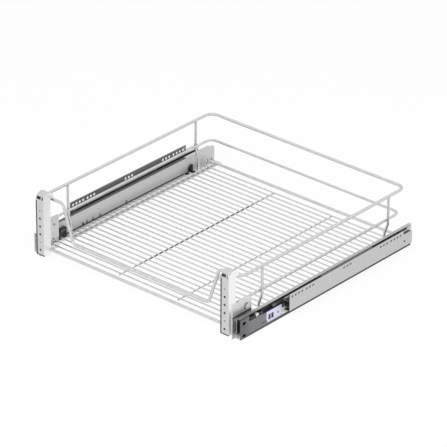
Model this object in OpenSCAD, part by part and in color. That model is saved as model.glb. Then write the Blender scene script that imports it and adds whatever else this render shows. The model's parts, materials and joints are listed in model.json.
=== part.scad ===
/* [Cabinet opening] */
// Clear width between the two cabinet walls
opening_w = 564; // [464:1:864]
// Pull-out travel from closed to fully open
travel = 450; // [300:10:460]

/* [Runner lengths] */
// Length of the drawer member that carries the basket
member_len = 521; // [500:1:600]
// Length of the profile that is screwed to the cabinet wall
profile_len = 370; // [350:1:385]
// Length of the profile's upper web, which has the screw holes and ends earlier
screw_web_len = 343; // [336:1:350]
// Front end of the drawer member to the front end of the cabinet profile
profile_setback = 120; // [110:1:130]
// Length of the rubber stop at the rear end of the cabinet profile
stop_len = 8; // [5:0.5:12]

/* [Runner section] */
// Cabinet wall to the inner face of the drawer member
runner_w = 27.2; // [26:0.1:30]
// Sheet thickness of the cabinet profile
profile_sheet = 1.5; // [1:0.1:1.8]
// Sheet thickness of the drawer member
member_sheet = 1.2; // [1:0.1:1.5]
// Sheet thickness of the middle member
middle_sheet = 1.2; // [0.8:0.1:1.5]
// Foot of the side plates to the underside of the drawer member
member_foot = 2.6; // [1:0.1:4]
// Foot of the side plates to the top of the drawer member
member_top = 46; // [44:0.5:60]
// Foot of the side plates to the top face of the lower ball track
lower_track = 23.4; // [23:0.1:26]
// Height of the cabinet profile's web
profile_h = 35.9; // [34:0.1:50]
// Width of a drawer member flange beyond its sheet
member_flange = 6.3; // [5.8:0.1:6.6]
// Width of a cabinet profile flange beyond its sheet
profile_flange = 11; // [9:0.5:11.5]
// Ball diameter
ball_d = 4; // [3.5:0.1:4.4]
// Clear height between two ball tracks, without their grooves
track_gap = 3.7; // [3.4:0.1:4.2]
// Radial clearance of a ball in its groove
ball_clearance = 0.1; // [0.02:0.01:0.1]
// Number of balls in each row of an outer cage
outer_ball_count = 5; // [3:1:7]
// Number of balls in each row of an inner cage
inner_ball_count = 8; // [4:1:12]

/* [Runner holes] */
// Diameter of the screw holes in the cabinet profile
profile_hole_d = 5.4; // [4:0.1:6]
// Pitch of the holes inside one group
profile_hole_pitch = 9.6; // [8:0.1:11]
// Middle of the upper web to the middle of a group of three
three_group_at = 111.2; // [100:0.1:115]
// Middle of the upper web to the middle of a group of four
four_group_at = 148.1; // [146:0.1:150]
// Top of the profile down to the hole row
profile_hole_drop = 8; // [6:0.1:9]
// Rear end of the profile to the round hole in its lower web
end_hole_at = 23.5; // [12:0.5:40]
// Diameter of that hole
end_hole_d = 4.5; // [3:0.1:6]

/* [Basket] */
// Foot of the side plates to the centre of the top rail
rail_height = 125; // [110:1:200]
// Cabinet wall to the centre of the top rail
side_gap = 32; // [31:0.5:34]
// Rear end of the drawer member to the centre of the back top rail
back_inset = 16; // [10:1:30]
// Face of the brackets to the centre of the front rail behind it
rail_behind_face = 27; // [26:0.1:28]
// Diameter of the top rail and the dipped front rail
rail_d = 6; // [5:0.5:8]
// Bend radius of the top rail's back corners
back_bend_r = 18; // [12:1:40]
// Bend radius of the top rail's front corners
front_bend_r = 20; // [12:1:20]
// Diameter of the mid rail
mid_rail_d = 5; // [4:0.5:6]
// Top rail centre down to mid rail centre
mid_rail_drop = 54.5; // [40:0.5:58]
// Top rail centre in to mid rail centre, at the sides and the back
mid_rail_inset = 6.5; // [6:0.1:7]
// Bend radius of the mid rail
mid_bend_r = 15; // [10:1:30]
// Diameter of the four uprights
upright_d = 5; // [4:0.5:6]
// Front top rail to the front uprights
front_upright_at = 65; // [64.5:0.1:65.5]
// Back top rail to the back uprights
back_upright_at = 49; // [48.5:0.1:49.5]
// Bend radius where an upright steps inward
upright_bend_r = 12; // [8:1:20]

/* [Dipped front rail] */
// Side rail to the leg of the dip beside it, at the level of the top rail
dip_leg_in = 50.7; // [45:0.1:120]
// How far each leg leans in on its way down
dip_lean = 26.3; // [0:0.1:60]
// How far the rail dips below the top rail
dip_depth = 80.5; // [40:0.5:90]
// Bend radius of the dip's four corners
dip_bend_r = 12; // [8:1:25]

/* [Basket floor] */
// Foot of the side plates to the plane where floor wires are welded
weld_plane = 17.9; // [17.5:0.1:18.2]
// Diameter of the frame wires round the floor
floor_frame_d = 6; // [5:0.5:7]
// Diameter of the thin floor wires
floor_wire_d = 3; // [2:0.5:4]
// Number of thin floor wires
floor_wire_count = 31; // [20:1:31]
// Back floor wire to the first thin wire
first_wire_at = 20; // [19.5:0.1:20.5]
// Last thin wire to the front floor wire
last_wire_at = 20.5; // [19:0.1:24]
// Back top rail to the back floor wire
floor_back_inset = 9; // [7:0.5:11]
// Top rail centre in to the side wire under the floor
side_wire_inset = 9.5; // [9:0.1:10]
// Where the two cross wires lie from the middle, left one first
cross_wire_x = [-60, 90];

/* [Front bracket] */
// Width of the bracket channel
bracket_w = 20.5; // [18:0.5:24]
// Depth of the bracket channel
bracket_depth = 19; // [16:0.5:19.5]
// Sheet thickness of the bracket
bracket_sheet = 1.5; // [1:0.1:2]
// Front end of the drawer member to the bracket face ahead of it
face_ahead = 12; // [8:0.5:16]
// Foot of the side plates to the lower end of the bracket
bracket_foot = 10; // [9:0.5:11]
// Outer radius of the rolled hood over the rail
hood_r = 14.5; // [14:0.1:15]
// Height of the two windows below the hood
window_h = 5.5; // [3:0.1:7]
// Hood springing line up to the lower edge of the windows
window_rise = 3; // [2:0.1:4]
// Width of the tongue between the windows
tongue_w = 2.5; // [1.5:0.1:4]
// Left edge of the bracket to the tongue
tongue_at = 12; // [6:0.5:14]
// Diameter of the main fixing holes in the face
face_hole_d = 5.2; // [4:0.1:6]
// Diameter of the small pilot holes in the face
pilot_hole_d = 3.6; // [2:0.1:4]
// Pitch of the holes in the face
face_hole_pitch = 17; // [15:0.5:17.5]
// Foot of the side plates to the lowest hole
lowest_face_hole = 22; // [18:0.5:24]

/* [Side plate] */
// Sheet thickness of the side plate
plate_sheet = 1.5; // [1:0.1:1.8]
// Length that laps the bracket flank
plate_lap = 10; // [6:0.5:14]
// Length behind the bracket
plate_reach = 44; // [42:0.5:46]
// Middle of the mid rail up to the top of the side plate
plate_rise = 2.2; // [1:0.1:20]
// Length of the mid rail that lies on the plate
rail_lap = 34; // [20:1:40]
// Diameter of the plate screws
plate_screw_d = 4; // [3:0.1:5]
// Outer diameter of the spacers round the plate screws
spacer_d = 8; // [7:0.5:9]
// Front end of the drawer member to the plate screws
plate_screw_at = 11.1; // [9:0.1:14]
// Heights of the two plate screws above the foot
plate_screw_z = [8.5, 34.6];
// Diameter of the clamp screw's head
clamp_head_d = 13; // [10:0.5:16]
// Diameter of the clamp screw's shank
clamp_shank_d = 5; // [4:0.5:6]
// Height of the clamp screw above the foot
clamp_z = 55; // [54:0.5:58]
// Radius of the height adjuster wheel
wheel_r = 10; // [8:0.5:10.5]
// Thickness of the wheel
wheel_t = 2; // [1.5:0.1:2.2]
// Height of the wheel's centre above the foot
wheel_z = 11; // [10.6:0.1:13]
// Number of notches round the wheel
notch_count = 8; // [6:1:12]
// Diameter of a notch
notch_d = 3; // [2:0.1:4]

/* [Release lever] */
// Thickness of the lever
lever_t = 6; // [4:0.1:6.2]
// Distance from the pivot to the rear end of the thumb block
lever_reach = 40; // [36:0.5:42]
// Length of the thumb block
thumb_len = 17; // [12:0.5:20]
// Height of the thumb block
thumb_h = 27; // [20:0.5:28]
// Height of the arm between pivot and thumb block
arm_h = 14; // [10:0.5:16]
// Diameter of the pivot pin
lever_pin_d = 4; // [3:0.1:5]
// Height of the pivot above the foot
lever_pivot_z = 21; // [20.5:0.1:23]
// Radial clearance on the lever's pivot and the wheel's hub
pivot_clearance = 0.08; // [0.02:0.01:0.1]

/* [Soft-close unit] */
// Stroke of the catch
catch_stroke = 44; // [30:1:44]
// Length of the damper housing
housing_len = 58.5; // [57:0.1:60]
// Foot of the side plates to the top of the housing
housing_top = 30.5; // [28:0.5:32]
// Length of the housing's arm ahead of it, above the front web
arm_len = 33; // [20:0.5:34]
// Outer diameter of the damper cylinder
cylinder_d = 4.6; // [4:0.1:5]
// Wall of the damper cylinder
cylinder_wall = 0.6; // [0.4:0.1:0.8]
// Diameter of the piston rod
piston_rod_d = 1.8; // [1.2:0.1:2]
// Height of the damper's axis above the foot
damper_z = 9.5; // [8.5:0.1:10]
// Height of the spring's axis above the foot
spring_z = 18; // [17.5:0.1:19]
// Outer diameter of the spring
spring_d = 4.6; // [4:0.1:4.8]
// Wire diameter of the spring
spring_wire_d = 0.7; // [0.5:0.1:0.9]
// Number of turns of the spring
spring_turns = 20; // [12:1:24]
// Length of the catch along the runner
catch_len = 18; // [17:0.1:22]
// Diameter of the pin that holds the catch
catch_pin_d = 3; // [2:0.1:3.2]
// How deep the pin reaches into the catch
catch_pin_reach = 2; // [1:0.1:3]

/* [Hidden] */
$fn = 48;
sliver = 0.01;
weld_bite = 0.1;
rest_bite = 0.015;
running_gap = 0.35;
collar_half = 0.4;
collar_excess = 0.04;

// Overall places
wall_x = opening_w / 2;
rear_y = (member_len + face_ahead) / 2;
face_y = -rear_y;
member_front_y = face_y + face_ahead;

// Basket places
rail_x = wall_x - side_gap;
back_rail_y = rear_y - back_inset;
front_rail_y = face_y + rail_behind_face;
rail_split_x = rail_x - front_bend_r - 2;
dip_top_half = rail_x - dip_leg_in;
mid_rail_x = rail_x - mid_rail_inset;
mid_rail_z = rail_height - mid_rail_drop;
upright_x = mid_rail_x + (mid_rail_d + upright_d) / 2 - weld_bite;
side_wire_x = rail_x - side_wire_inset;
upright_bend_top = mid_rail_z - 7.5;
upright_bend_drop = 22;
floor_half_w = side_wire_x + floor_frame_d / 2;
floor_back_y = back_rail_y - floor_back_inset;
floor_upper_z = weld_plane + floor_frame_d / 2 - weld_bite;
side_wire_z = weld_plane - floor_frame_d / 2;
thin_wire_z = weld_plane + floor_wire_d / 2 - weld_bite;
cross_wire_z = weld_plane - floor_wire_d / 2;

// Front bracket and side plate places
bracket_outer_x = mid_rail_x + mid_rail_d / 2 - weld_bite;
bracket_inner_x = bracket_outer_x - bracket_w;
bracket_rear_y = face_y + bracket_depth;
hood_y = face_y + hood_r;
hood_z = rail_height + rail_d / 2 - weld_bite / 2;
floor_front_y = bracket_rear_y - floor_frame_d / 2;
floor_pitch = (floor_back_y - first_wire_at - floor_front_y - last_wire_at) / (floor_wire_count - 1);
plate_x = bracket_outer_x;
plate_h = mid_rail_z + plate_rise;
plate_outer_x = plate_x + plate_sheet;
plate_front_y = bracket_rear_y - plate_lap;
plate_rear_y = bracket_rear_y + plate_reach;
mid_rail_end_y = plate_rear_y - rail_lap;
plate_screw_y = member_front_y + plate_screw_at;
clamp_y = plate_rear_y - 13;
wheel_y = plate_rear_y - wheel_r;
wheel_hub_d = 6;

// Drawer member places
panel_x = wall_x - runner_w;
panel_outer_x = panel_x + member_sheet;
skirt_w = 9.6;
skirt_x = panel_x + skirt_w - member_sheet;
skirt_top = 7;
upper_track = member_top - member_sheet;
shelf_reach = 21.8;
shelf_top = weld_plane - floor_frame_d + rest_bite;
lever_front_gap = 0.7;
web_len = 62;
web_step_len = 77;
web_step_top = 13;
square_len = 25;
web_drop = 12.5;
slot_len = 10;
slot_h = 6;
flange_back = 12;
track_rear_y = rear_y - flange_back;

// Lever and clip places
lever_x = plate_outer_x + lever_front_gap;
lever_pivot_y = member_front_y + 35;
lever_rear_y = lever_pivot_y + lever_reach;
shelf_front_y = lever_rear_y + 5;
clip_h = 16;
clip_rear_y = back_rail_y - back_upright_at - upright_d;

// Cabinet profile and track places
profile_front_y = member_front_y + profile_setback;
profile_rear_y = profile_front_y + profile_len;
profile_foot = lower_track - profile_sheet;
profile_top = profile_foot + profile_h;
profile_step_z = upper_track + profile_sheet + 1.2;
profile_web_x = wall_x - profile_sheet;
middle_top = upper_track - track_gap;
middle_foot = lower_track + track_gap;
middle_rear_y = profile_rear_y - stop_len;
cage_sheet = 0.8;
middle_tip_inner = panel_outer_x + 2 * running_gap + cage_sheet;
middle_tip_outer = profile_web_x - 2 * running_gap - cage_sheet;
middle_web_x = (panel_outer_x + member_flange + profile_web_x - profile_flange - middle_sheet) / 2;
inner_ball_x = panel_outer_x + member_flange / 2 + 0.6;
outer_ball_x = profile_web_x - profile_flange / 2 - 0.5;
ball_rows_z = [(lower_track + middle_foot) / 2, (upper_track + middle_top) / 2];

// The middle member moves half as far as the basket, so each cage keeps inside what overlaps then
cage_margin = 5;
outer_cage_mid_y = (profile_front_y + middle_rear_y) / 2;
outer_cage_len = middle_rear_y - travel / 2 - profile_front_y - 2 * cage_margin;
inner_cage_mid_y = (profile_front_y + track_rear_y) / 2;
inner_cage_len = track_rear_y - travel / 2 - profile_front_y - 2 * cage_margin;

// Soft-close places
housing_front_y = member_front_y + web_len;
housing_rear_y = housing_front_y + housing_len;
housing_x = panel_outer_x + running_gap;
housing_w = skirt_x - running_gap - housing_x;
unit_x = housing_x + housing_w / 2;
channel_floor = member_foot + member_sheet + running_gap;
catch_front_y = housing_rear_y + 1.8;
catch_top = lower_track - member_sheet - 0.6;
catch_pin_y = catch_front_y + 10.7;
catch_pin_z = 15;
catch_pin_tip_x = housing_x + housing_w - catch_pin_reach;
arm_foot = member_top - web_drop + running_gap;
arm_top = arm_foot + 4.8;
piston_len = 3;
cylinder_len = housing_len - 0.6;

// ---- Shared shapes ----

// Unit vector along v
function unit(v) = v / norm(v);

// Children on the right side as drawn, or mirrored to the left side
module on_side(side) {
    mirror([side == "left" ? 1 : 0, 0, 0])
        children();
}

// Box between two opposite corners
module box(low, high) {
    translate(low)
        cube(high - low);
}

// Cylinder along X from x0 to x1
module x_cylinder(x0, x1, y, z, d) {
    translate([x0, y, z])
        rotate([0, 90, 0])
            cylinder(h = x1 - x0, d = d);
}

// Cylinder along Y from y0 to y1
module y_cylinder(y0, y1, x, z, d) {
    translate([x, y0, z])
        rotate([-90, 0, 0])
            cylinder(h = y1 - y0, d = d);
}

// Slot through a sheet that faces X, with round ends along Y
module x_slot(x0, x1, y, z, length, height) {
    for (end = [-1, 1])
        x_cylinder(x0, x1, y + end * (length - height) / 2, z, height);
    box([x0, y - (length - height) / 2, z - height / 2], [x1, y + (length - height) / 2, z + height / 2]);
}

// Straight round rod from a to b
module rod(a, b, d) {
    v = b - a;
    translate(a)
        rotate([0, acos(v.z / norm(v)), atan2(v.y, v.x)])
            cylinder(h = norm(v), d = d);
}

// Round elbow whose legs run along u and then w and would meet at the corner
module elbow(corner, u, w, bend_r, d) {
    turn = acos(u * w);
    side = unit(w - (u * w) * u);
    centre = corner - bend_r * tan(turn / 2) * u + bend_r * side;
    normal = cross(-side, u);
    multmatrix([
        [-side.x, u.x, normal.x, centre.x],
        [-side.y, u.y, normal.y, centre.y],
        [-side.z, u.z, normal.z, centre.z],
        [0, 0, 0, 1]
    ])
        rotate_extrude(angle = turn)
            translate([bend_r, 0])
                circle(d = d);
}

// Round rod through the points, with every inner corner bent.
// Where a straight meets a bend, a short collar that is a hair wider makes sure that they join.
module bent_rod(points, bend_r, d) {
    last = len(points) - 1;
    legs = [for (i = [0 : last - 1]) unit(points[i + 1] - points[i])];
    function setback(i) = i == 0 || i == last ? 0 : bend_r * tan(acos(legs[i - 1] * legs[i]) / 2);
    for (i = [0 : last - 1])
        rod(points[i] + setback(i) * legs[i], points[i + 1] - setback(i + 1) * legs[i], d);
    for (i = [1 : last - 1]) {
        elbow(points[i], legs[i - 1], legs[i], bend_r, d);
        for (leg = [-legs[i - 1], legs[i]])
            rod(points[i] + (setback(i) - collar_half) * leg, points[i] + (setback(i) + collar_half) * leg,
                d + collar_excess);
    }
}

// Grooves for one pair of ball rows
module ball_grooves(x, y0, y1) {
    for (z = ball_rows_z)
        y_cylinder(y0, y1, x, z, ball_d + 2 * ball_clearance);
}

// Where the balls of one row stand along Y
function ball_places(mid_y, length, count) = [
    for (i = [0 : count - 1]) mid_y - length / 2 + cage_margin + i * (length - 2 * cage_margin) / (count - 1)
];

// ---- Pieces fixed to the cabinet ----

module cabinet_profile(side) {
    screw_web_rear_y = profile_front_y + screw_web_len;
    mid_y = (profile_front_y + screw_web_rear_y) / 2;
    hole_z = profile_top - profile_hole_drop;
    end_hole_z = profile_foot + 11.5;
    flange_x = profile_web_x - profile_flange;
    three = [for (i = [-1 : 1]) i * profile_hole_pitch];
    four = [for (i = [-1.5 : 1 : 1.5]) i * profile_hole_pitch];
    holes = concat(
        three,
        [for (end = [-1, 1], at = three) end * three_group_at + at],
        [for (end = [-1, 1], at = four) end * four_group_at + at]
    );
    color("gainsboro")
        on_side(side)
            difference() {
                union() {
                    box([profile_web_x, profile_front_y, profile_foot],
                        [wall_x, profile_rear_y, profile_step_z]);
                    box([profile_web_x, profile_front_y, profile_foot],
                        [wall_x, screw_web_rear_y, profile_top]);
                    box([flange_x, profile_front_y, profile_foot], [wall_x, profile_rear_y, lower_track]);
                    box([flange_x, profile_front_y, upper_track],
                        [wall_x, profile_rear_y, upper_track + profile_sheet]);
                }
                for (at = holes)
                    x_cylinder(profile_web_x - 1, wall_x + 1, mid_y + at, hole_z, profile_hole_d);
                x_cylinder(profile_web_x - 1, wall_x + 1, profile_rear_y - end_hole_at,
                    end_hole_z, end_hole_d);
                ball_grooves(outer_ball_x, profile_front_y - 1, profile_rear_y + 1);
            }
}

module catch_pin(side) {
    tab_x = profile_web_x - profile_flange - 1;
    tab_t = 1.5;
    tab_len = 8;
    tab_lap = 9;
    color("silver")
        on_side(side) {
            x_cylinder(catch_pin_tip_x, tab_x + tab_t / 2, catch_pin_y, catch_pin_z, catch_pin_d);
            box([tab_x, catch_pin_y - tab_len / 2, catch_pin_z - catch_pin_d / 2 - 0.5],
                [tab_x + tab_t, catch_pin_y + tab_len / 2, profile_foot]);
            box([tab_x, catch_pin_y - tab_len / 2, profile_foot - tab_t],
                [tab_x + tab_lap, catch_pin_y + tab_len / 2, profile_foot]);
        }
}

module rear_stop(side) {
    stop_w = 9;
    color("dimgray")
        on_side(side)
            box([profile_web_x - stop_w, middle_rear_y + running_gap, middle_foot],
                [profile_web_x, profile_rear_y, middle_top]);
}

// ---- Middle member and ball cages ----

module middle_member(side) {
    nose_len = 25;
    nose_h = 6.5;
    front_y = profile_front_y - nose_len;
    foot_front_y = housing_rear_y + 1;
    color("silver")
        on_side(side)
            difference() {
                union() {
                    box([middle_tip_inner, foot_front_y, middle_top - middle_sheet],
                        [middle_tip_outer, middle_rear_y, middle_top]);
                    box([middle_tip_inner, foot_front_y, middle_foot],
                        [middle_tip_outer, middle_rear_y, middle_foot + middle_sheet]);
                    box([middle_web_x, foot_front_y, middle_foot],
                        [middle_web_x + middle_sheet, middle_rear_y, middle_top]);
                    // The inner race runs on ahead of the cabinet profile, above the soft-close housing
                    box([middle_tip_inner, front_y, middle_top - nose_h],
                        [panel_outer_x + member_flange, profile_front_y + nose_len, middle_top]);
                }
                for (x = [inner_ball_x, outer_ball_x])
                    ball_grooves(x, front_y - 1, middle_rear_y + 1);
            }
}

// Bent strip with a row of ball holes in each of its two legs
module cage(strip_x, tip_x, ball_x, mid_y, length, count) {
    low_x = min(strip_x, tip_x);
    high_x = max(strip_x + cage_sheet, tip_x);
    difference() {
        union() {
            box([strip_x, mid_y - length / 2, ball_rows_z[0] - cage_sheet / 2],
                [strip_x + cage_sheet, mid_y + length / 2, ball_rows_z[1] + cage_sheet / 2]);
            for (z = ball_rows_z)
                box([low_x, mid_y - length / 2, z - cage_sheet / 2],
                    [high_x, mid_y + length / 2, z + cage_sheet / 2]);
        }
        for (y = ball_places(mid_y, length, count), z = ball_rows_z)
            translate([ball_x, y, z - cage_sheet])
                cylinder(h = 2 * cage_sheet, d = ball_d + 2 * ball_clearance);
    }
}

// Two rows of balls
module balls(ball_x, mid_y, length, count) {
    for (y = ball_places(mid_y, length, count), z = ball_rows_z)
        translate([ball_x, y, z])
            sphere(d = ball_d);
}

module outer_cage(side) {
    strip_x = profile_web_x - running_gap - cage_sheet;
    color("white")
        on_side(side)
            cage(strip_x, outer_ball_x - ball_d / 2 - 1, outer_ball_x,
                outer_cage_mid_y, outer_cage_len, outer_ball_count);
}

module outer_balls(side) {
    color("lightsteelblue")
        on_side(side)
            balls(outer_ball_x, outer_cage_mid_y, outer_cage_len, outer_ball_count);
}

module inner_cage(side) {
    strip_x = panel_outer_x + running_gap;
    color("white")
        on_side(side)
            cage(strip_x, inner_ball_x + ball_d / 2 + 0.8, inner_ball_x,
                inner_cage_mid_y, inner_cage_len, inner_ball_count);
}

module inner_balls(side) {
    color("lightsteelblue")
        on_side(side)
            balls(inner_ball_x, inner_cage_mid_y, inner_cage_len, inner_ball_count);
}

// ---- Drawer member and what it carries ----

module drawer_member(side) {
    flange_x = panel_outer_x + member_flange;
    skirt_outer_x = skirt_x + member_sheet;
    track_front_y = housing_rear_y + 6;
    corner_r = 8;
    small_hole_d = 3;
    small_holes_y = [8.4, 19.9, 37.2, 57.5];
    mid_hole_y = (member_front_y + rear_y) / 2 - 5.4;
    rear_hole_drop = 6.8;
    rear_hole_d = 5;
    rear_hole_at = 23.3;
    last_hole_at = 9.4;
    color("lightgray")
        on_side(side)
            difference() {
                union() {
                    box([panel_x, member_front_y, member_foot], [panel_outer_x, rear_y, member_top]);
                    box([panel_x, member_front_y, upper_track], [flange_x, track_rear_y, member_top]);
                    box([panel_x, track_front_y, lower_track - member_sheet],
                        [flange_x, track_rear_y, lower_track]);
                    box([panel_x, member_front_y, member_foot],
                        [skirt_outer_x, track_rear_y, member_foot + member_sheet]);
                    box([skirt_x, member_front_y, member_foot], [skirt_outer_x, track_rear_y, skirt_top]);
                    box([skirt_x, member_front_y, member_foot],
                        [skirt_outer_x, housing_front_y, member_top - web_drop]);
                    box([skirt_x, member_front_y, member_foot],
                        [skirt_outer_x, member_front_y + web_step_len, web_step_top]);
                    box([skirt_x, member_front_y, member_foot],
                        [skirt_outer_x, member_front_y + square_len, member_top]);
                    box([panel_x, member_front_y, upper_track],
                        [skirt_outer_x, member_front_y + square_len, member_top]);
                    box([panel_x - shelf_reach, shelf_front_y, shelf_top - member_sheet],
                        [panel_outer_x, rear_y - 2, shelf_top]);
                }
                ball_grooves(inner_ball_x, track_front_y - 1, track_rear_y + 1);
                for (z = plate_screw_z) {
                    x_cylinder(panel_x - 1, panel_outer_x + 1, plate_screw_y, z,
                        plate_screw_d + 2 * pivot_clearance);
                    x_slot(skirt_x - 1, skirt_outer_x + 1, plate_screw_y, z, slot_len, slot_h);
                }
                x_cylinder(panel_x - 1, panel_outer_x + 1, lever_pivot_y, lever_pivot_z,
                    lever_pin_d + 2 * pivot_clearance);
                for (y = concat([for (at = small_holes_y) profile_front_y + at], [mid_hole_y]))
                    x_cylinder(panel_x - 1, panel_outer_x + 1, y, weld_plane, small_hole_d);
                x_cylinder(panel_x - 1, panel_outer_x + 1, rear_y - rear_hole_at,
                    lower_track - rear_hole_drop, rear_hole_d);
                x_cylinder(panel_x - 1, panel_outer_x + 1, rear_y - last_hole_at,
                    lower_track - rear_hole_drop, small_hole_d);
                difference() {
                    box([panel_x - 1, rear_y - corner_r, member_top - corner_r],
                        [flange_x + 1, rear_y + 1, member_top + 1]);
                    x_cylinder(panel_x - 2, flange_x + 2, rear_y - corner_r,
                        member_top - corner_r, 2 * corner_r);
                }
            }
}

module damper_housing(side) {
    window_len = 15;
    window_h = 11;
    window_rib_count = 2;
    window_rib = 1.6;
    recess_depth = 1.4;
    mark_len = 3.6;
    mark_h = 5.5;
    shoulder = 5;
    outer_x = housing_x + housing_w;
    window_y = housing_front_y + 20.5;
    window_pitch = (window_len + window_rib) / window_rib_count;
    mark_y = housing_rear_y - 10.3;
    color("aliceblue")
        on_side(side)
            difference() {
                union() {
                    box([housing_x, housing_front_y + running_gap, channel_floor],
                        [outer_x, housing_rear_y, housing_top]);
                    box([housing_x, housing_front_y - arm_len, arm_foot],
                        [outer_x, housing_front_y + shoulder, arm_top]);
                    box([housing_x, housing_front_y + running_gap, housing_top - 1],
                        [outer_x, housing_front_y + shoulder, arm_top]);
                }
                y_cylinder(housing_front_y - 1, housing_rear_y + 1, unit_x, damper_z, cylinder_d + 0.2);
                y_cylinder(housing_front_y + 2, housing_rear_y + 1, unit_x, spring_z, spring_d + 0.4);
                // Window on the spring, with a rib across it
                for (i = [0 : window_rib_count - 1])
                    box([outer_x - recess_depth, window_y + i * window_pitch, spring_z - window_h / 2],
                        [outer_x + 1, window_y + (i + 1) * window_pitch - window_rib,
                            spring_z + window_h / 2]);
                box([outer_x - recess_depth, mark_y - mark_len / 2, spring_z - mark_h / 2],
                    [outer_x + 1, mark_y + mark_len / 2, spring_z + mark_h / 2]);
            }
}

module damper_cylinder(side) {
    front_y = housing_front_y + 0.5;
    end_wall = 1;
    color("silver")
        on_side(side)
            difference() {
                y_cylinder(front_y, front_y + cylinder_len, unit_x, damper_z, cylinder_d);
                y_cylinder(front_y + end_wall, front_y + cylinder_len - end_wall, unit_x, damper_z,
                    cylinder_d - 2 * cylinder_wall);
                y_cylinder(front_y + cylinder_len / 2, front_y + cylinder_len + 1, unit_x, damper_z,
                    piston_rod_d + 0.2);
            }
}

module piston_rod(side) {
    piston_y = housing_front_y + 2;
    color("silver")
        on_side(side) {
            y_cylinder(piston_y, piston_y + piston_len, unit_x, damper_z,
                cylinder_d - 2 * cylinder_wall - 0.2);
            y_cylinder(piston_y + sliver, catch_front_y, unit_x, damper_z, piston_rod_d);
        }
}

// One ring of the spring's wire, at a share t of its length
function spring_ring(t, coil_r, length, sides) = [
    for (j = [0 : sides - 1])
        let (turn = 360 * spring_turns * t, around = 360 * j / sides,
            r = coil_r + spring_wire_d / 2 * cos(around))
        [r * cos(turn), length * t + spring_wire_d / 2 * sin(around), r * sin(turn)]
];

module pull_spring(side) {
    sides = 6;
    steps = 10 * spring_turns;
    coil_r = (spring_d - spring_wire_d) / 2;
    length = housing_len - 6;
    points = [for (i = [0 : steps]) each spring_ring(i / steps, coil_r, length, sides)];
    walls = [
        for (i = [0 : steps - 1], j = [0 : sides - 1])
            let (a = i * sides + j, b = i * sides + (j + 1) % sides)
            each [[a, b, b + sides], [a, b + sides, a + sides]]
    ];
    caps = [[for (j = [sides - 1 : -1 : 0]) j], [for (j = [0 : sides - 1]) steps * sides + j]];
    color("gray")
        on_side(side)
            translate([unit_x, housing_front_y + 3, spring_z])
                polyhedron(points = points, faces = concat(walls, caps));
}

module catch(side) {
    slot_w = catch_pin_d + 2 * running_gap;
    slot_depth = catch_pin_reach + running_gap;
    slot_foot = catch_pin_z - 3.5;
    outer_x = housing_x + housing_w;
    color("darkseagreen")
        on_side(side)
            difference() {
                box([housing_x, catch_front_y, channel_floor],
                    [outer_x, catch_front_y + catch_len, catch_top]);
                // Notch whose rear wall hooks the pin, and the way in that the pin slides along
                box([outer_x - slot_depth, catch_pin_y - slot_w / 2, slot_foot],
                    [outer_x + 1, catch_pin_y + slot_w / 2, catch_top + 1]);
                box([outer_x - slot_depth, catch_front_y - 1, catch_pin_z - slot_w / 2],
                    [outer_x + 1, catch_pin_y, catch_pin_z + slot_w / 2]);
                y_cylinder(catch_front_y - 1, catch_front_y + 4, unit_x, spring_z, spring_d);
            }
}

module release_lever(side) {
    bore_d = lever_pin_d + 2 * pivot_clearance;
    boss_d = 14;
    color("black")
        on_side(side)
            difference() {
                union() {
                    x_cylinder(lever_x, lever_x + lever_t, lever_pivot_y, lever_pivot_z, boss_d);
                    box([lever_x, lever_pivot_y, lever_pivot_z - arm_h / 2],
                        [lever_x + lever_t, lever_rear_y, lever_pivot_z + arm_h / 2]);
                    box([lever_x, lever_rear_y - thumb_len, lever_pivot_z - thumb_h / 2],
                        [lever_x + lever_t, lever_rear_y, lever_pivot_z + thumb_h / 2]);
                }
                x_cylinder(lever_x - 1, lever_x + lever_t + 1, lever_pivot_y, lever_pivot_z, bore_d);
            }
}

module lever_pin(side) {
    head_d = lever_pin_d + 3;
    head_t = 1.2;
    color("silver")
        on_side(side) {
            x_cylinder(plate_outer_x, panel_outer_x + head_t, lever_pivot_y, lever_pivot_z, lever_pin_d);
            x_cylinder(panel_outer_x, panel_outer_x + head_t, lever_pivot_y, lever_pivot_z, head_d);
        }
}

module wire_clip(side) {
    foot_w = 6;
    foot_t = 2.5;
    body_w = 3.5;
    neck_len = 6;
    notch_h = 2.5;
    corner_r = 9;
    foot_reach = 12;
    nose_gap = 0.2;
    nose_t = 2;
    nose_len = 4;
    nose_lead = 0.6;
    wires_behind = 2.5;
    gap_mid_y = floor_back_y - first_wire_at - wires_behind * floor_pitch;
    body_front_y = gap_mid_y + nose_lead;
    notch_z = shelf_top + foot_t;
    color("black")
        on_side(side) {
            box([panel_x - foot_w, body_front_y - foot_reach, shelf_top], [panel_x, clip_rear_y, notch_z]);
            difference() {
                box([panel_x - body_w, body_front_y, shelf_top], [panel_x, clip_rear_y, shelf_top + clip_h]);
                box([panel_x - body_w - 1, body_front_y - 1, notch_z],
                    [panel_x + 1, clip_rear_y - neck_len, notch_z + notch_h]);
                difference() {
                    box([panel_x - body_w - 1, body_front_y - 1, shelf_top + clip_h - corner_r],
                        [panel_x + 1, body_front_y + corner_r, shelf_top + clip_h + 1]);
                    x_cylinder(panel_x - body_w - 2, panel_x + 2, body_front_y + corner_r,
                        shelf_top + clip_h - corner_r, 2 * corner_r);
                }
            }
            // Nose that holds the floor's side wire down
            box([side_wire_x - floor_frame_d / 2, gap_mid_y, weld_plane + nose_gap],
                [panel_x - body_w + 1, gap_mid_y + nose_len, weld_plane + nose_gap + nose_t]);
        }
}

// ---- Front bracket, side plate and their fixings ----

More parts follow.
